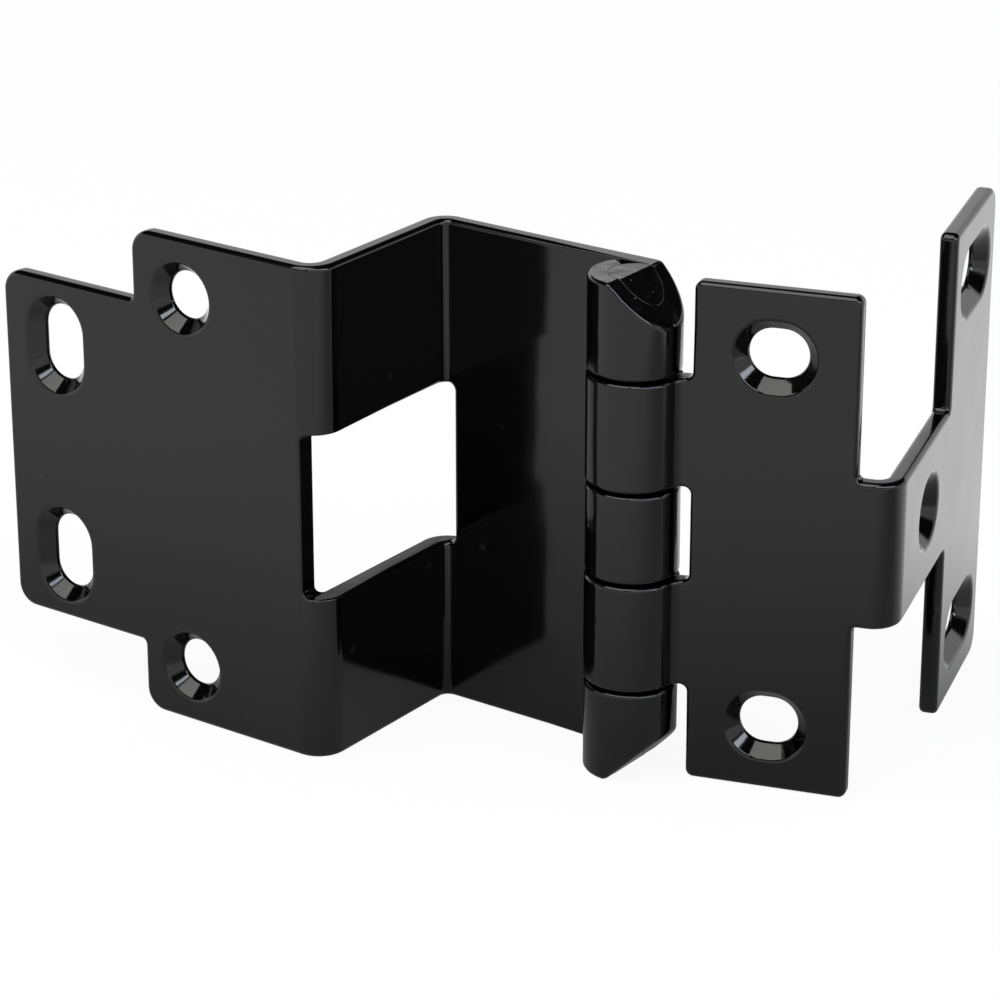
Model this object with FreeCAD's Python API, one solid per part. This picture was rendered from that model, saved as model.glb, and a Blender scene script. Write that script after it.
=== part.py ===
import FreeCAD, Part
import math
import os

# Five-knuckle wrap-around cabinet hinge, opened a little past flat.
# It is modelled about its pin: the cabinet leaf runs to -X, the door leaf to +X,
# and +Y points from the screw heads' side to the panels.
# At the end everything moves so that the origin lies on the cabinet leaf's panel face,
# midway between its two round screw holes.

# Barrel and pin, in millimetres
barrel_height = 50.8
sheet = 1.9
pin_radius = 2.65
tight_clearance = 0.02
running_clearance = 0.08
end_knuckle = 9.4
door_knuckle = 10.9
knuckle_gap = 0.3
slot_clearance = 1.25
seam_gap = 0.25
tip_slope = 45.0

# Cabinet leaf: screw plate, web and tab
tab_reach = 25.2
web_depth = 20.0
plate_length = 39.0
wide_length = 22.0
narrow_height = 36.2
plate_bend = 1.2
tab_bend = 0.8
window_height = 17.0
window_in_plate = 1.6
window_in_tab = 2.0
round_hole_from_step = 6.1
round_hole_from_edge = 6.0
slot_from_end = 6.7
slot_from_edge = 6.85
slot_run = 3.0

# Door leaf: edge plate, neck and T-shaped face plate
door_angle = 17.0
leaf_gap = 1.72
nest_clearance = 2.35
neck_clearance = 1.1
tee_clearance = 3.05
tee_length = 18.2
door_bend = 1.0
offset_bend = 1.15
door_hole_from_end = 8.1
door_hole_from_edge = 6.65
door_hole_run = 1.0
tee_hole_from_end = 8.95
tee_hole_run = 6.0
neck_hole_depth = 12.3

# Screw holes, countersunk for flat heads
hole_radius = 2.4
head_radius = 3.7
head_angle = 82.0

# Corner radii
plate_corner = 2.2
tee_corner = 2.2
door_corner = 0.8
window_corner = 0.8
slot_corner = 0.7
step_corner = 0.5

# Overshoot of every cutting solid
over = 1.0

# Worked out from the sizes above
half_sheet = sheet / 2
top = barrel_height / 2
cabinet_roll = pin_radius + tight_clearance + half_sheet
door_roll = pin_radius + running_clearance + half_sheet
barrel_radius = door_roll + half_sheet
slot_edge = barrel_radius + slot_clearance
middle_knuckle = barrel_height - 2 * end_knuckle - 2 * door_knuckle - 4 * knuckle_gap
door_offset = cabinet_roll - sheet - leaf_gap
plate_y = cabinet_roll - web_depth
neck_top = window_height / 2 - neck_clearance
door_plate_end = tab_reach - half_sheet - nest_clearance
neck_reach = door_offset - plate_y + half_sheet + tee_clearance
tee_reach = neck_reach + tee_length
origin_x = -tab_reach - wide_length + round_hole_from_step
origin_y = plate_y + half_sheet

AXIS_X = FreeCAD.Vector(1, 0, 0)
AXIS_Y = FreeCAD.Vector(0, 1, 0)
AXIS_Z = FreeCAD.Vector(0, 0, 1)
CENTRE = FreeCAD.Vector(0, 0, 0)


def heading(degrees):
    angle = math.radians(degrees)
    return FreeCAD.Vector(math.cos(angle), math.sin(angle), 0)


def cut_all(shape, cutters):
    for cutter in cutters:
        shape = shape.cut(cutter)
    return shape


def fuse_all(shapes):
    return shapes[0].multiFuse(shapes[1:]).removeSplitter()


# One bent strip of sheet, followed along its mid-line in plan.
# A run (length, 0) is straight, and a run (radius, turn) bends about its mid-line radius.
def bent_strip(start, direction, runs, low, high):
    left_edges = []
    right_edges = []
    place = start
    for size, turn in runs:
        side = heading(direction + 90)
        if turn == 0:
            middle = place + heading(direction) * (size / 2)
            after = place + heading(direction) * size
            side_middle = side
            side_after = side
        else:
            sign = math.copysign(1, turn)
            hub = place + side * (sign * size)
            side_middle = heading(direction + 90 + turn / 2)
            side_after = heading(direction + 90 + turn)
            middle = hub - side_middle * (sign * size)
            after = hub - side_after * (sign * size)
        for edges, reach in ((left_edges, half_sheet), (right_edges, -half_sheet)):
            first = place + side * reach
            last = after + side_after * reach
            if turn == 0:
                edges.append(Part.LineSegment(first, last).toShape())
            else:
                edges.append(Part.Arc(first, middle + side_middle * reach, last).toShape())
        place = after
        direction += turn
    start_side = heading(direction - sum(turn for size, turn in runs) + 90) * half_sheet
    end_side = heading(direction + 90) * half_sheet
    caps = [
        Part.LineSegment(start - start_side, start + start_side).toShape(),
        Part.LineSegment(place - end_side, place + end_side).toShape(),
    ]
    outline = Part.Wire(Part.__sortEdges__(left_edges + right_edges + caps))
    strip = Part.Face(outline).extrude(AXIS_Z * (high - low))
    strip.translate(AXIS_Z * low)
    return strip


# A closed outline through (u, v, radius) corners, each rounded by its radius
def rounded_outline(corners):
    edges = []
    previous_end = None
    first_start = None
    for index, (u, v, radius) in enumerate(corners):
        here = FreeCAD.Vector(u, v, 0)
        before = FreeCAD.Vector(*corners[index - 1][:2], 0)
        after = FreeCAD.Vector(*corners[(index + 1) % len(corners)][:2], 0)
        back = (before - here).normalize()
        ahead = (after - here).normalize()
        start = here
        end = here
        arc = None
        if radius > 0:
            half_angle = back.getAngle(ahead) / 2
            inward = (back + ahead).normalize()
            start = here + back * (radius / math.tan(half_angle))
            end = here + ahead * (radius / math.tan(half_angle))
            middle = here + inward * (radius / math.sin(half_angle) - radius)
            arc = Part.Arc(start, middle, end).toShape()
        if previous_end is None:
            first_start = start
        else:
            edges.append(Part.LineSegment(previous_end, start).toShape())
        if arc is not None:
            edges.append(arc)
        previous_end = end
    edges.append(Part.LineSegment(previous_end, first_start).toShape())
    return Part.Wire(edges)


# A screw hole through a flat sheet, its countersink opening on the sheet's upper face.
# half_run is half of the straight stretch of an elongated hole.
def screw_hole_cutter(u, v, half_run):
    spread = math.tan(math.radians(head_angle / 2))
    cone_depth = (head_radius - hole_radius) / spread
    mouth_radius = head_radius + over * spread
    flank = [
        (hole_radius, -over),
        (hole_radius, sheet - cone_depth),
        (mouth_radius, sheet + over),
    ]
    axis_line = [(0, sheet + over), (0, -over)]
    half_section = [FreeCAD.Vector(x, 0, z) for x, z in flank + axis_line + flank[:1]]
    round_cutter = Part.Face(Part.makePolygon(half_section)).revolve(CENTRE, AXIS_Z, 360)
    cutter = round_cutter.copy()
    if half_run.Length > 0:
        other_flank = [(-x, z) for x, z in reversed(flank)]
        section = [FreeCAD.Vector(x, 0, z) for x, z in flank + other_flank + flank[:1]]
        channel = Part.Face(Part.makePolygon(section))
        channel.rotate(CENTRE, AXIS_Z, math.degrees(math.atan2(half_run.y, half_run.x)) - 90)
        channel.translate(half_run * -1)
        other_end = round_cutter.copy()
        cutter.translate(half_run)
        other_end.translate(half_run * -1)
        cutter = fuse_all([channel.extrude(half_run * 2), cutter, other_end])
    cutter.translate(FreeCAD.Vector(u, v, 0))
    return cutter


# A flat plate cut to its outline and punched, standing upright.
# along is its own +u, +Z its own +v, and its thickness grows to the countersunk face.
def punched_plate(corners, holes, corner_place, along):
    plate = Part.Face(rounded_outline(corners)).extrude(AXIS_Z * sheet)
    for u, v, half_run in holes:
        plate = plate.cut(screw_hole_cutter(u, v, half_run))
    upright = FreeCAD.Rotation(along, AXIS_Z, along.cross(AXIS_Z), "XYZ")
    plate.Placement = FreeCAD.Placement(corner_place, upright)
    return plate


# Lower and upper end of each of the five knuckles, from the bottom up
def knuckle_spans():
    lengths = [end_knuckle, door_knuckle, middle_knuckle, door_knuckle, end_knuckle]
    spans = []
    low = -top
    for length in lengths:
        spans.append((low, low + length))
        low += length + knuckle_gap
    return spans


# A plate's edge beside the barrel, from the bottom up: it stands back at slot_edge beside
# the other leaf's knuckles and reaches tab_edge beside its own.
def barrel_side_corners(own, tab_edge):
    corners = []
    for index, (low, high) in enumerate(knuckle_spans()):
        if index not in own:
            continue
        bottom_corner = 0 if low == -top else slot_corner
        top_corner = 0 if index == len(knuckle_spans()) - 1 else slot_corner
        if bottom_corner:
            corners.append((slot_edge, low, bottom_corner))
        corners.append((tab_edge, low, 0))
        corners.append((tab_edge, high, 0))
        if top_corner:
            corners.append((slot_edge, high, top_corner))
    return corners


# The slanted cuts that bevel both ends of the barrel on the door's side
def tip_cutters():
    reach = barrel_radius + over
    slope = math.tan(math.radians(tip_slope))
    profile = [
        FreeCAD.Vector(-over, -reach, top + over * slope),
        FreeCAD.Vector(reach, -reach, top + over * slope),
        FreeCAD.Vector(reach, -reach, top - reach * slope),
    ]
    upper = Part.Face(Part.makePolygon(profile + profile[:1])).extrude(AXIS_Y * (2 * reach))
    return [upper, upper.mirror(CENTRE, AXIS_Z)]


def cabinet_leaf():
    plate_radius = plate_bend + half_sheet
    tab_radius = tab_bend + half_sheet
    plate_start = -tab_reach - plate_radius
    plate_end = -tab_reach - plate_length
    step = -tab_reach - wide_length
    narrow_top = narrow_height / 2

    # Screw plate: full height beside the web, lower beyond the step
    plate_corners = [
        (plate_start, -top, 0),
        (plate_start, top, 0),
        (step, top, plate_corner),
        (step, narrow_top, step_corner),
        (plate_end, narrow_top, plate_corner),
        (plate_end, -narrow_top, plate_corner),
        (step, -narrow_top, step_corner),
        (step, -top, plate_corner),
    ]
    no_run = FreeCAD.Vector(0, 0, 0)
    upright_run = FreeCAD.Vector(0, slot_run / 2, 0)
    holes = []
    for side in (-1, 1):
        holes.append((origin_x, side * (top - round_hole_from_edge), no_run))
        holes.append((plate_end + slot_from_end, side * (narrow_top - slot_from_edge), upright_run))
    plate = punched_plate(plate_corners, holes, AXIS_Y * (plate_y + half_sheet), AXIS_X)

    # Web with its two bends
    web_runs = [
        (plate_radius, 90),
        (web_depth - plate_radius - tab_radius, 0),
        (tab_radius, -90),
    ]
    web = bent_strip(FreeCAD.Vector(plate_start, plate_y, 0), 0, web_runs, -top, top)

    # Tab up to the barrel, with slots for the door leaf's knuckles
    tab_corners = [(-u, v, radius) for u, v, radius in barrel_side_corners((0, 2, 4), 0)]
    tab_corners += [
        (-tab_reach + tab_radius, top, 0),
        (-tab_reach + tab_radius, -top, 0),
    ]
    tab = punched_plate(tab_corners, [], AXIS_Y * (cabinet_roll + half_sheet), AXIS_X)

    # Knuckles, rolled over the outer side until they nearly meet the tab again
    bore_radius = cabinet_roll - half_sheet
    outer_radius = cabinet_roll + half_sheet
    roll_end = math.degrees(math.asin((bore_radius - seam_gap) / outer_radius))
    roll = [(cabinet_roll, -(270 + roll_end))]
    pieces = [plate, web, tab]
    for low, high in knuckle_spans()[::2]:
        pieces.append(bent_strip(FreeCAD.Vector(0, cabinet_roll, 0), 0, roll, low, high))
    leaf = fuse_all(pieces)

    # Window that the door leaf's neck passes through when the door is shut
    window_low = -tab_reach - window_in_plate
    window_high = -tab_reach + window_in_tab
    half_window = window_height / 2
    window_corners = [
        (window_low, -half_window, window_corner),
        (window_high, -half_window, window_corner),
        (window_high, half_window, window_corner),
        (window_low, half_window, window_corner),
    ]
    window = Part.Face(rounded_outline(window_corners)).extrude(AXIS_Z * (web_depth + sheet + 2 * over))
    window.rotate(CENTRE, AXIS_X, 90)
    window.translate(AXIS_Y * (cabinet_roll + half_sheet + over))
    return cut_all(leaf, [window] + tip_cutters()).removeSplitter()


def door_leaf():
    bend_radius = door_bend + half_sheet
    bend_start = tab_reach - bend_radius
    entry_radius = offset_bend + half_sheet

    # The edge plate lies level with the pin, so its sheet dips forward in a small bend
    # and then follows the barrel round.
    entry_x = math.sqrt((door_roll + entry_radius) ** 2 - (door_offset + entry_radius) ** 2)
    entry_angle = math.degrees(math.atan2(door_offset + entry_radius, entry_x))
    seam_y = door_offset - half_sheet - seam_gap
    roll_end = math.degrees(math.asin(seam_y / (door_roll + half_sheet)))
    roll = [
        (entry_radius, 90 - entry_angle),
        (door_roll, -(360 + roll_end - entry_angle)),
    ]

    # Edge plate: full height beside the barrel, a neck towards the face plate
    plate_corners = [
        (slot_edge, -top, door_corner),
        (door_plate_end, -top, door_corner),
        (door_plate_end, -neck_top, step_corner),
        (bend_start, -neck_top, 0),
        (bend_start, neck_top, 0),
        (door_plate_end, neck_top, step_corner),
        (door_plate_end, top, door_corner),
        (slot_edge, top, door_corner),
    ]
    plate_corners += reversed(barrel_side_corners((1, 3), entry_x))
    level_run = FreeCAD.Vector(door_hole_run / 2, 0, 0)
    holes = []
    for side in (-1, 1):
        holes.append((door_plate_end - door_hole_from_end, side * (top - door_hole_from_edge), level_run))
    plate = punched_plate(plate_corners, holes, AXIS_Y * (half_sheet - door_offset), AXIS_X)

    # Bend and T-shaped face plate, whose neck has a screw hole of its own
    bend_place = FreeCAD.Vector(bend_start, -door_offset, 0)
    bend = bent_strip(bend_place, 0, [(bend_radius, 90)], -neck_top, neck_top)
    tee_corners = [
        (bend_radius, -neck_top, 0),
        (neck_reach, -neck_top, step_corner),
        (neck_reach, -top, door_corner),
        (tee_reach, -top, tee_corner),
        (tee_reach, top, tee_corner),
        (neck_reach, top, door_corner),
        (neck_reach, neck_top, step_corner),
        (bend_radius, neck_top, 0),
    ]
    tee_run = FreeCAD.Vector(tee_hole_run / 2, 0, 0)
    holes = [(neck_hole_depth, 0, level_run)]
    for side in (-1, 1):
        holes.append((tee_reach - tee_hole_from_end, side * (top - door_hole_from_edge), tee_run))
    tee_place = FreeCAD.Vector(tab_reach - half_sheet, -door_offset, 0)
    tee = punched_plate(tee_corners, holes, tee_place, AXIS_Y)

    pieces = [plate, bend, tee]
    for low, high in knuckle_spans()[1::2]:
        pieces.append(bent_strip(FreeCAD.Vector(entry_x, -door_offset, 0), 180, roll, low, high))
    leaf = fuse_all(pieces)
    leaf.rotate(CENTRE, AXIS_Z, door_angle)
    return leaf


def hinge_pin():
    pin = Part.makeCylinder(pin_radius, barrel_height, AXIS_Z * -top)
    return cut_all(pin, tip_cutters())


os.makedirs("parts", exist_ok=True)
nodes = {
    "cabinet_leaf": cabinet_leaf(),
    "door_leaf": door_leaf(),
    "hinge_pin": hinge_pin(),
}
for name, shape in nodes.items():
    shape.translate(FreeCAD.Vector(-origin_x, -origin_y, 0))
    shape.exportStep("parts/" + name + ".step")
    print(name, "valid", shape.isValid(), "solids", len(shape.Solids), "volume", round(shape.Volume, 1))
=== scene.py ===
import math

import bmesh
import bpy
from mathutils import Matrix, Vector


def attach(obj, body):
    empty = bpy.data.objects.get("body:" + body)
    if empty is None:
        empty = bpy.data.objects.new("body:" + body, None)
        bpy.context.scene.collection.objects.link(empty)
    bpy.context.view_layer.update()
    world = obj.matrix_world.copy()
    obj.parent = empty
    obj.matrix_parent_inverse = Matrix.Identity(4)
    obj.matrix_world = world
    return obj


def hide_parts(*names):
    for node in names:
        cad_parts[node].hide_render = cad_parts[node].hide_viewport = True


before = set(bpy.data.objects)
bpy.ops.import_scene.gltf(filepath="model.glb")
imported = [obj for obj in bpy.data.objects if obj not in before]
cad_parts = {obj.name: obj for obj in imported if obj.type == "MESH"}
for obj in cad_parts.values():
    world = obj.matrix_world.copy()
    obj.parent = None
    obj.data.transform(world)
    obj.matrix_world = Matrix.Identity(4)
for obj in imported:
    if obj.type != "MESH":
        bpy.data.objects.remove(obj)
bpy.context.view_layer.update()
scene = bpy.context.scene
print("CAD hinge loaded:", sorted(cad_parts))


# Camera and room

pinMiddle = Vector((0.0411, 0.01543, 0.0))

camera = {
    "azimuth": 35.647,
    "elevation": 21.88,
    "distance": 0.36063,
    "sideways": -0.01267,
    "upward": 0.00234,
    "lens": 135.78,
    "sensor": 36.0,
    "nearest": 0.01,
    "farthest": 20.0,
}

# paperShare is how much of the lit paper shows beside plain white, to the camera and in gloss.
# In gloss the floor glows by itself as a painted reflection: pale in front, a painted shade
# dimmest at the hinge's foot and a painted brighter glow behind.
room = {
    "floorHeight": -0.0254,
    "floorSize": 6.0,
    "floorTone": (0.80, 0.80, 0.80),
    "cameraPaperShare": 0.08,
    "glossPaperShare": 0.25,
    "frontShine": 0.78,
    "footPaintedShade": 0.19,
    "backPaintedGlow": 1.37,
    "frontToFoot": (-0.075, 0.022),
    "footToBack": (0.030, 0.100),
    "worldStrength": 0.52,
    "wallShine": 1.0,
    "wallHeight": (0.34, 0.46),
    "ceilingShine": 0.02,
}

# Each lamp: place and aim in metres, the way its long side runs, both sides, watts, colour.
# The window is a strip from the front round to the right, which draws the thin cool lines
# on the barrel's rims and in the countersinks.
lamps = {
    "overheadSoftbox": {
        "place": (-0.10, -0.36, 0.82),
        "aim": (0.02, 0.01, 0.0),
        "along": (0.95, -0.31, 0.0),
        "sides": (0.78, 0.78),
        "power": 6.2,
        "tone": (1.0, 0.99, 0.97),
    },
    "sideWindow": {
        "place": (0.66, -0.24, 0.58),
        "aim": (0.03, 0.01, 0.0),
        "along": (0.53, 0.79, -0.31),
        "sides": (1.10, 0.15),
        "power": 4.4,
        "tone": (0.84, 0.90, 1.0),
    },
}


def placeCamera(values):
    azimuth = math.radians(values["azimuth"])
    elevation = math.radians(values["elevation"])
    back = Vector((
        math.sin(azimuth) * math.cos(elevation),
        -math.cos(azimuth) * math.cos(elevation),
        math.sin(elevation),
    ))
    right = Vector((math.cos(azimuth), math.sin(azimuth), 0.0))
    up = back.cross(right)
    place = (
        pinMiddle
        + back * values["distance"]
        + right * values["sideways"]
        + up * values["upward"]
    )
    turn = (math.radians(90.0) - elevation, 0.0, azimuth)
    bpy.ops.object.camera_add(location=place, rotation=turn)
    viewer = bpy.context.active_object
    viewer.name = "photoCamera"
    viewer.data.lens = values["lens"]
    viewer.data.sensor_width = values["sensor"]
    viewer.data.clip_start = values["nearest"]
    viewer.data.clip_end = values["farthest"]
    scene.camera = viewer


def addLamp(name, values):
    place = Vector(values["place"])
    outward = (place - Vector(values["aim"])).normalized()
    across = outward.cross(Vector(values["along"])).normalized()
    turn = Matrix((across.cross(outward), across, outward)).transposed().to_euler()
    bpy.ops.object.light_add(type="AREA", location=place, rotation=turn)
    lamp = bpy.context.active_object
    lamp.name = name
    lamp.data.shape = "RECTANGLE"
    lamp.data.size, lamp.data.size_y = values["sides"]
    lamp.data.energy = values["power"]
    lamp.data.color = values["tone"]


def mathStep(nodes, links, operation, first, second):
    step = nodes.new("ShaderNodeMath")
    step.operation = operation
    for socket, value in zip(step.inputs, (first, second)):
        if isinstance(value, float):
            socket.default_value = value
        else:
            links.new(value, socket)
    return step.outputs[0]


def ramp(nodes, links, value, fromLow, fromHigh, toLow, toHigh):
    step = nodes.new("ShaderNodeMapRange")
    step.interpolation_type = "SMOOTHSTEP"
    links.new(value, step.inputs["Value"])
    step.inputs["From Min"].default_value = fromLow
    step.inputs["From Max"].default_value = fromHigh
    step.inputs["To Min"].default_value = toLow
    step.inputs["To Max"].default_value = toHigh
    return step.outputs["Result"]


def plainLight(nodes, links, kind, strength):
    light = nodes.new(kind)
    light.inputs["Color"].default_value = (1.0, 1.0, 1.0, 1.0)
    if isinstance(strength, float):
        light.inputs["Strength"].default_value = strength
    else:
        links.new(strength, light.inputs["Strength"])
    return light.outputs[0]


def mixShaders(nodes, links, share, first, second):
    blend = nodes.new("ShaderNodeMixShader")
    if isinstance(share, float):
        blend.inputs["Fac"].default_value = share
    else:
        links.new(share, blend.inputs["Fac"])
    links.new(first, blend.inputs[1])
    links.new(second, blend.inputs[2])
    return blend.outputs[0]


def makeFloor(values):
    bpy.ops.mesh.primitive_plane_add(
        size=values["floorSize"],
        location=(0.0, 0.0, values["floorHeight"]),
    )
    floor = bpy.context.active_object
    floor.name = "paleFloor"
    paint = bpy.data.materials.new("paleFloorPaper")
    paint.use_nodes = True
    nodes = paint.node_tree.nodes
    links = paint.node_tree.links
    nodes.clear()
    paperNode = nodes.new("ShaderNodeBsdfDiffuse")
    paperNode.inputs["Color"].default_value = (*values["floorTone"], 1.0)
    paper = paperNode.outputs[0]
    rays = nodes.new("ShaderNodeLightPath").outputs
    gloss = mathStep(nodes, links, "MAXIMUM", rays["Is Glossy Ray"], rays["Is Transmission Ray"])
    place = nodes.new("ShaderNodeSeparateXYZ")
    links.new(nodes.new("ShaderNodeNewGeometry").outputs["Position"], place.inputs[0])
    y = place.outputs["Y"]
    # Painted reflection: in gloss the floor glows by position, with painted shade at the hinge's
    # foot and a painted brighter glow behind
    front = ramp(
        nodes, links, y,
        *values["frontToFoot"],
        values["frontShine"], values["footPaintedShade"],
    )
    behind = ramp(
        nodes, links, y,
        *values["footToBack"],
        0.0, values["backPaintedGlow"] - values["footPaintedShade"],
    )
    paintedFloorGlow = mathStep(nodes, links, "ADD", front, behind)
    paintedGlossFloor = plainLight(nodes, links, "ShaderNodeEmission", paintedFloorGlow)
    glossView = mixShaders(nodes, links, values["glossPaperShare"], paintedGlossFloor, paper)
    cameraWhite = plainLight(nodes, links, "ShaderNodeEmission", 1.0)
    cameraView = mixShaders(nodes, links, values["cameraPaperShare"], cameraWhite, paper)
    view = mixShaders(nodes, links, rays["Is Camera Ray"], paper, cameraView)
    view = mixShaders(nodes, links, gloss, view, glossView)
    out = nodes.new("ShaderNodeOutputMaterial")
    links.new(view, out.inputs["Surface"])
    floor.data.materials.append(paint)


def makeWorld(values):
    world = bpy.data.worlds.new("paleRoom")
    scene.world = world
    world.use_nodes = True
    nodes = world.node_tree.nodes
    links = world.node_tree.links
    nodes.clear()
    rays = nodes.new("ShaderNodeLightPath").outputs
    gloss = mathStep(nodes, links, "MAXIMUM", rays["Is Glossy Ray"], rays["Is Transmission Ray"])

    # The gloss sees white walls up to a little above the hinge and a dark room over them
    place = nodes.new("ShaderNodeSeparateXYZ")
    links.new(nodes.new("ShaderNodeTexCoord").outputs["Generated"], place.inputs[0])
    walls = ramp(
        nodes, links, place.outputs["Z"],
        *values["wallHeight"],
        values["wallShine"], values["ceilingShine"],
    )
    background = "ShaderNodeBackground"
    softLight = plainLight(nodes, links, background, values["worldStrength"])
    cameraWhite = plainLight(nodes, links, background, 1.0)
    glossView = plainLight(nodes, links, background, walls)
    view = mixShaders(nodes, links, rays["Is Camera Ray"], softLight, cameraWhite)
    view = mixShaders(nodes, links, gloss, view, glossView)
    out = nodes.new("ShaderNodeOutputWorld")
    links.new(view, out.inputs["Surface"])


placeCamera(camera)
for lampName, lampValues in lamps.items():
    addLamp(lampName, lampValues)
makeFloor(room)
makeWorld(room)
scene.view_settings.view_transform = "Standard"
print("Camera, lamps, floor and room are in place")


# Paint film shared by every enamelled surface: a slow flow of the wet coat, fine peel,
# and scattered nibs under the gloss, which the enamels tint as dust and, on the sawn ends,
# as painted glints. streakSqueeze squeezes the place along the height, nibReach is a
# nib's share of its cell, and flowSpan is the flow that the gloss spans.

filmForm = {
    "streakSqueeze": (1.0, 1.0, 0.025),
    "nibReach": 0.22,
    "flowSpan": (0.3, 0.7),
}


def makePaintFilm(form):
    film = bpy.data.node_groups.new("paintFilm", "ShaderNodeTree")
    face = film.interface
    settings = {
        "Flow Scale": 120.0,
        "Flow Depth": 0.4,
        "Peel Scale": 900.0,
        "Peel Depth": 0.1,
        "Streak Depth": 0.0,
        "Nib Scale": 500.0,
        "Nib Share": 0.03,
        "Gloss Low": 0.06,
        "Gloss High": 0.12,
    }
    for name, value in settings.items():
        socket = face.new_socket(name=name, in_out="INPUT", socket_type="NodeSocketFloat")
        socket.default_value = value
    for name in ("Height", "Roughness", "DustAndGlint"):
        face.new_socket(name=name, in_out="OUTPUT", socket_type="NodeSocketFloat")
    nodes = film.nodes
    links = film.links
    given = nodes.new("NodeGroupInput")
    result = nodes.new("NodeGroupOutput")
    place = nodes.new("ShaderNodeTexCoord")

    # Noise at the squeezed place runs in upright streaks
    upright = nodes.new("ShaderNodeVectorMath")
    upright.operation = "MULTIPLY"
    links.new(place.outputs["Object"], upright.inputs[0])
    upright.inputs[1].default_value = form["streakSqueeze"]

    def noiseAt(scaleName, detail, spot=place.outputs["Object"]):
        wave = nodes.new("ShaderNodeTexNoise")
        wave.inputs["Detail"].default_value = detail
        links.new(spot, wave.inputs["Vector"])
        links.new(given.outputs[scaleName], wave.inputs["Scale"])
        return wave.outputs["Fac"]

    flow = mathStep(
        nodes, links, "MULTIPLY",
        noiseAt("Flow Scale", 1.0), given.outputs["Flow Depth"],
    )
    peel = mathStep(
        nodes, links, "MULTIPLY",
        noiseAt("Peel Scale", 2.0), given.outputs["Peel Depth"],
    )
    streak = mathStep(
        nodes, links, "MULTIPLY",
        noiseAt("Peel Scale", 1.0, upright.outputs["Vector"]), given.outputs["Streak Depth"],
    )

    # Only cells whose own random colour falls under the share carry a nib
    specks = nodes.new("ShaderNodeTexVoronoi")
    links.new(place.outputs["Object"], specks.inputs["Vector"])
    links.new(given.outputs["Nib Scale"], specks.inputs["Scale"])
    split = nodes.new("ShaderNodeSeparateColor")
    links.new(specks.outputs["Color"], split.inputs["Color"])
    chosen = mathStep(
        nodes, links, "LESS_THAN",
        split.outputs["Red"], given.outputs["Nib Share"],
    )
    near = nodes.new("ShaderNodeMapRange")
    links.new(specks.outputs["Distance"], near.inputs["Value"])
    near.inputs["From Min"].default_value = 0.0
    near.inputs["From Max"].default_value = form["nibReach"]
    near.inputs["To Min"].default_value = 1.0
    near.inputs["To Max"].default_value = 0.0
    nib = mathStep(nodes, links, "MULTIPLY", near.outputs["Result"], chosen)

    coatHeight = mathStep(nodes, links, "ADD", flow, peel)
    relief = mathStep(nodes, links, "ADD", streak, nib)
    height = mathStep(nodes, links, "ADD", coatHeight, relief)
    links.new(height, result.inputs["Height"])
    links.new(nib, result.inputs["DustAndGlint"])

    gloss = nodes.new("ShaderNodeMapRange")
    links.new(noiseAt("Flow Scale", 3.0), gloss.inputs["Value"])
    gloss.inputs["From Min"].default_value = form["flowSpan"][0]
    gloss.inputs["From Max"].default_value = form["flowSpan"][1]
    links.new(given.outputs["Gloss Low"], gloss.inputs["To Min"])
    links.new(given.outputs["Gloss High"], gloss.inputs["To Max"])
    links.new(gloss.outputs["Result"], result.inputs["Roughness"])
    return film


def makeEnamel(name, film, values):
    enamel = bpy.data.materials.new(name)
    enamel.use_nodes = True
    nodes = enamel.node_tree.nodes
    links = enamel.node_tree.links
    shader = nodes["Principled BSDF"]
    shader.inputs["IOR"].default_value = values["ior"]
    coat = nodes.new("ShaderNodeGroup")
    coat.node_tree = film
    for socketName, value in values["film"].items():
        coat.inputs[socketName].default_value = value
    # Nibs take dustAndGlintTone: dark dust on the plates and barrel, and on the sawn ends a
    # light grey that is painted glints
    dustAndGlintTint = nodes.new("ShaderNodeMix")
    dustAndGlintTint.data_type = "RGBA"
    dustAndGlintTint.inputs[6].default_value = (*values["tone"], 1.0)
    dustAndGlintTint.inputs[7].default_value = (*values["dustAndGlintTone"], 1.0)
    links.new(coat.outputs["DustAndGlint"], dustAndGlintTint.inputs[0])
    links.new(dustAndGlintTint.outputs[2], shader.inputs["Base Color"])
    links.new(coat.outputs["Roughness"], shader.inputs["Roughness"])
    bump = nodes.new("ShaderNodeBump")
    bump.inputs["Strength"].default_value = values["bumpStrength"]
    bump.inputs["Distance"].default_value = values["bumpDistance"]
    links.new(coat.outputs["Height"], bump.inputs["Height"])
    links.new(bump.outputs["Normal"], shader.inputs["Normal"])
    return enamel


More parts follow.
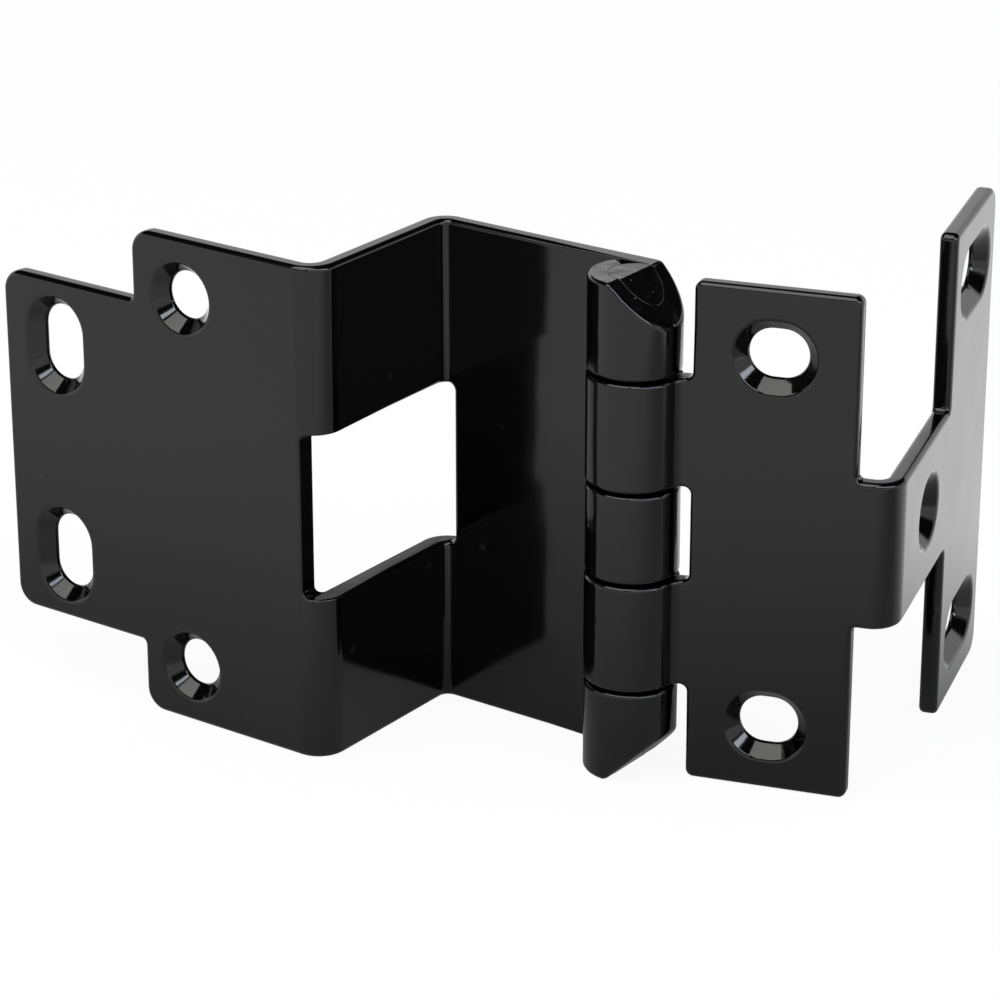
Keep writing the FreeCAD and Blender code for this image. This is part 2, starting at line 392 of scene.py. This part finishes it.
enamels = {
    "plateEnamel": {
        "tone": (0.0006, 0.0006, 0.0008),
        "dustAndGlintTone": (0.010, 0.010, 0.011),
        "ior": 1.5,
        "bumpStrength": 0.4,
        "bumpDistance": 0.00006,
        "film": {
            "Flow Scale": 85.0,
            "Flow Depth": 4.5,
            "Peel Scale": 1100.0,
            "Peel Depth": 0.05,
            "Streak Depth": 0.10,
            "Nib Scale": 420.0,
            "Nib Share": 0.02,
            "Gloss Low": 0.07,
            "Gloss High": 0.13,
        },
    },
    "barrelEnamel": {
        "tone": (0.0006, 0.0006, 0.0008),
        "dustAndGlintTone": (0.010, 0.010, 0.011),
        "ior": 1.5,
        "bumpStrength": 0.5,
        "bumpDistance": 0.00012,
        "film": {
            "Flow Scale": 220.0,
            "Flow Depth": 1.1,
            "Peel Scale": 1500.0,
            "Peel Depth": 0.05,
            "Nib Scale": 600.0,
            "Nib Share": 0.04,
            "Gloss Low": 0.06,
            "Gloss High": 0.14,
        },
    },
    "tipEnamel": {
        "tone": (0.0008, 0.0008, 0.0010),
        # The sawn ends' light grey nibs are painted glints as well as dust
        "dustAndGlintTone": (0.16, 0.16, 0.17),
        "ior": 1.5,
        "bumpStrength": 0.9,
        "bumpDistance": 0.00015,
        "film": {
            "Flow Scale": 480.0,
            "Flow Depth": 0.8,
            "Peel Scale": 1500.0,
            "Peel Depth": 0.06,
            "Nib Scale": 1500.0,
            "Nib Share": 0.12,
            "Gloss Low": 0.07,
            "Gloss High": 0.16,
        },
    },
}

paintFilm = makePaintFilm(filmForm)
finishes = {name: makeEnamel(name, paintFilm, values) for name, values in enamels.items()}
print("Enamels mixed:", sorted(finishes))


# Leaves and pin: each CAD node's copy gets softened edges under its paint

# The barrel's axis in plan, its radii with a little to spare, the height over which its
# slanting ends lie, and the least lean of a sawn face
barrel = {
    "pin": (0.0411, 0.01543),
    "radius": 0.0047,
    "paintRadius": 0.0049,
    "boreRadius": 0.0028,
    "endHeight": 0.0155,
    "sawnLean": 0.4,
}

# How far the paint rounds an edge, in metres. Edges that turn less than leastTurn stay as
# they are, and no rounding takes more than roomShare of the face beside it. mergeReach and
# flatTurn clean the copy first, and smoothTurn is the widest angle that still shades smooth.
rounding = {
    "widest": 0.00055,
    "sheet": 0.00055,
    "knuckle": 0.00042,
    "tip": 0.00040,
    "pin": 0.00005,
    "hollow": 0.00022,
    "leastTurn": 33.0,
    "chainTurn": 0.7,
    "longEdge": 0.003,
    "roomShare": 0.42,
    "steps": 4,
    "broadFace": 0.0000015,
    "mergeReach": 0.000002,
    "flatTurn": 0.1,
    "smoothTurn": 32.0,
}

# Countersinks: the hole's middle at each height, the way its mouth faces, the way an
# elongated hole runs and half of its straight stretch, in metres
countersinks = {
    "panelScrews": {
        "middles": ((0.0, 0.0, -0.0194), (0.0, 0.0, 0.0194)),
        "mouth": (0.0, -1.0, 0.0),
        "run": (0.0, 0.0, 1.0),
        "halfRun": 0.0,
    },
    "panelSlots": {
        "middles": ((-0.0164, 0.0, -0.01125), (-0.0164, 0.0, 0.01125)),
        "mouth": (0.0, -1.0, 0.0),
        "run": (0.0, 0.0, 1.0),
        "halfRun": 0.0015,
    },
    "doorEdgeHoles": {
        "middles": ((0.054019, 0.020373, -0.01875), (0.054019, 0.020373, 0.01875)),
        "mouth": (0.292372, -0.956305, 0.0),
        "run": (0.956305, 0.292372, 0.0),
        "halfRun": 0.0005,
    },
    "neckHole": {
        "middles": ((0.060694, 0.034283, 0.0),),
        "mouth": (0.956305, 0.292372, 0.0),
        "run": (-0.292372, 0.956305, 0.0),
        "halfRun": 0.0005,
    },
    "doorBackHoles": {
        "middles": ((0.055627, 0.050855, -0.01875), (0.055627, 0.050855, 0.01875)),
        "mouth": (0.956305, 0.292372, 0.0),
        "run": (-0.292372, 0.956305, 0.0),
        "halfRun": 0.003,
    },
}

# A face belongs to a countersink when it lies this near its axis and leans like its cone
cone = {
    "mouthRadius": 0.0038,
    "halfAngle": 41.0,
    "angleSlack": 0.06,
}

# Where a door knuckle runs out into its plate, the surfaces leave slivers finer than the
# paint. Their corners are drawn onto these points before the edges are rounded.
junctions = {
    "points": ((0.046331, 0.016036), (0.045776, 0.017853)),
    "heights": (-0.0157, -0.0048, 0.0048, 0.0157),
    "reach": 0.00022,
    "level": 0.000003,
}

coats = {
    "cabinetLeafCoat": {"node": "cabinet_leaf", "body": "cabinet_side"},
    "doorLeafCoat": {"node": "door_leaf", "body": "door_side"},
    "hingePinCoat": {"node": "hinge_pin", "body": "cabinet_side"},
}


def applyModifiers(piece):
    bpy.ops.object.select_all(action="DESELECT")
    piece.select_set(True)
    bpy.context.view_layer.objects.active = piece
    for modifier in list(piece.modifiers):
        bpy.ops.object.modifier_apply(modifier=modifier.name)


def reachAcross(loop):
    start = loop.vert.co
    along = (loop.link_loop_next.vert.co - start).normalized()
    inward = loop.face.normal.cross(along)
    return max((corner.co - start).dot(inward) for corner in loop.face.verts)


def wantedRounding(edge):
    pinX, pinY = barrel["pin"]
    middle = (edge.verts[0].co + edge.verts[1].co) / 2.0
    reach = math.hypot(middle.x - pinX, middle.y - pinY)
    if not edge.is_convex:
        return rounding["hollow"]
    atEnd = abs(middle.z) > barrel["endHeight"]
    if reach < barrel["boreRadius"] and atEnd:
        return rounding["pin"]
    if reach < barrel["radius"] and atEnd:
        return rounding["tip"]
    if reach < barrel["radius"]:
        return rounding["knuckle"]
    return rounding["sheet"]


def closeSlivers(piece):
    shape = bmesh.new()
    shape.from_mesh(piece.data)
    targets = {}
    for height in junctions["heights"]:
        for x, y in junctions["points"]:
            point = Vector((x, y, height))
            keeper = min(shape.verts, key=lambda corner: (corner.co - point).length)
            if (keeper.co - point).length > junctions["level"]:
                continue
            for corner in shape.verts:
                away = corner.co - keeper.co
                level = abs(away.z) < junctions["level"]
                if level and 0.0 < away.x and away.length < junctions["reach"]:
                    targets[corner] = keeper
    bmesh.ops.weld_verts(shape, targetmap=targets)
    shape.to_mesh(piece.data)
    shape.free()


def nextInChain(edge, corner, widths):
    # The straightest way on from this corner, if any goes on smoothly enough
    outward = (corner.co - edge.other_vert(corner).co).normalized()
    straightest = rounding["chainTurn"]
    found = None
    for other in corner.link_edges:
        if other is edge or other not in widths:
            continue
        onward = (other.other_vert(corner).co - corner.co).normalized()
        if outward.dot(onward) > straightest:
            straightest = outward.dot(onward)
            found = other
    return found


def chainFrom(edge, widths, middles):
    chain = {edge}
    ends = [edge]
    while ends:
        last = ends.pop()
        for corner in last.verts:
            if corner in middles:
                continue
            other = nextInChain(last, corner, widths)
            if other is not None and other not in chain:
                chain.add(other)
                ends.append(other)
    return chain


def weighEdges(piece):
    # Edges that run on smoothly take one width, the smallest along them. It changes only
    # in the middle of a long straight edge.
    leastTurn = math.radians(rounding["leastTurn"])
    shape = bmesh.new()
    shape.from_mesh(piece.data)
    weights = shape.edges.layers.float.new("bevel_weight_edge")
    turned = [
        edge for edge in shape.edges
        if len(edge.link_faces) == 2 and edge.calc_face_angle() > leastTurn
    ]
    middles = set()
    for edge in list(turned):
        if edge.calc_length() > rounding["longEdge"]:
            half, middle = bmesh.utils.edge_split(edge, edge.verts[0], 0.5)
            turned.append(half)
            middles.add(middle)
    widths = {}
    for edge in turned:
        spare = min(reachAcross(loop) for loop in edge.link_loops)
        widths[edge] = min(wantedRounding(edge), rounding["roomShare"] * spare)
    done = set()
    for first in turned:
        if first in done:
            continue
        chain = chainFrom(first, widths, middles)
        done |= chain
        width = min(widths[edge] for edge in chain)
        for edge in chain:
            edge[weights] = width / rounding["widest"]
    shape.to_mesh(piece.data)
    shape.free()


def outFromAxis(point, middle, values):
    mouth = Vector(values["mouth"])
    run = Vector(values["run"])
    away = point - Vector(middle)
    away -= mouth * away.dot(mouth)
    along = max(-values["halfRun"], min(values["halfRun"], away.dot(run)))
    return away - run * along


def smoothCones(piece):
    # Every countersink gets a true cone's normals, however its faces happen to be cut
    mesh = piece.data
    rise = math.sin(math.radians(cone["halfAngle"]))
    spread = math.cos(math.radians(cone["halfAngle"]))
    exact = {}
    for values in countersinks.values():
        mouth = Vector(values["mouth"])
        for middle in values["middles"]:
            for face in mesh.polygons:
                away = outFromAxis(face.center, middle, values)
                if away.length > cone["mouthRadius"]:
                    continue
                if abs(face.normal.dot(mouth) - rise) > cone["angleSlack"]:
                    continue
                for corner in face.vertices:
                    out = outFromAxis(mesh.vertices[corner].co, middle, values).normalized()
                    exact[corner] = mouth * rise - out * spread
    normals = [corner.vector.copy() for corner in mesh.corner_normals]
    for loop in mesh.loops:
        if loop.vertex_index in exact:
            normals[loop.index] = exact[loop.vertex_index]
    mesh.normals_split_custom_set(normals)
    print("Cone corners smoothed:", len(exact))


def paintFaces(piece):
    # Slot 0 is the plates, 1 the rolled barrel, 2 the barrel's sawn and slanting ends
    pinX, pinY = barrel["pin"]
    for face in piece.data.polygons:
        place = face.center
        reach = math.hypot(place.x - pinX, place.y - pinY)
        onBarrel = reach < barrel["paintRadius"]
        facesEnd = abs(face.normal.z) > barrel["sawnLean"]
        atEnd = abs(place.z) > barrel["endHeight"]
        if onBarrel and facesEnd and atEnd:
            face.material_index = 2
        elif onBarrel:
            face.material_index = 1
        else:
            face.material_index = 0


def coatedCopy(name, values):
    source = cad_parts[values["node"]]
    piece = bpy.data.objects.new(name, source.data.copy())
    piece.data.name = name
    scene.collection.objects.link(piece)
    bpy.ops.object.select_all(action="DESELECT")
    piece.select_set(True)
    bpy.context.view_layer.objects.active = piece
    bpy.ops.object.mode_set(mode="EDIT")
    bpy.ops.mesh.select_all(action="SELECT")
    bpy.ops.mesh.customdata_custom_splitnormals_clear()
    bpy.ops.mesh.remove_doubles(threshold=rounding["mergeReach"])
    bpy.ops.mesh.dissolve_limited(angle_limit=math.radians(rounding["flatTurn"]))
    bpy.ops.object.mode_set(mode="OBJECT")
    closeSlivers(piece)
    weighEdges(piece)
    edges = piece.modifiers.new("softEdges", "BEVEL")
    edges.width = rounding["widest"]
    edges.segments = rounding["steps"]
    edges.limit_method = "WEIGHT"
    edges.use_clamp_overlap = False
    edges.loop_slide = False
    edges.miter_outer = "MITER_ARC"
    applyModifiers(piece)
    bpy.ops.object.shade_smooth_by_angle(angle=math.radians(rounding["smoothTurn"]))
    broad = {
        corner
        for face in piece.data.polygons if face.area > rounding["broadFace"]
        for corner in face.vertices
    }
    piece.vertex_groups.new(name="broadFaces").add(sorted(broad), 1.0, "REPLACE")
    evenness = piece.modifiers.new("evenPlates", "WEIGHTED_NORMAL")
    evenness.vertex_group = "broadFaces"
    evenness.keep_sharp = True
    applyModifiers(piece)
    piece.vertex_groups.clear()
    smoothCones(piece)
    piece.data.materials.clear()
    for finish in finishes.values():
        piece.data.materials.append(finish)
    paintFaces(piece)
    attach(piece, values["body"])
    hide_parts(values["node"])


for coatName, coatValues in coats.items():
    coatedCopy(coatName, coatValues)
    print("Coated:", coatName)
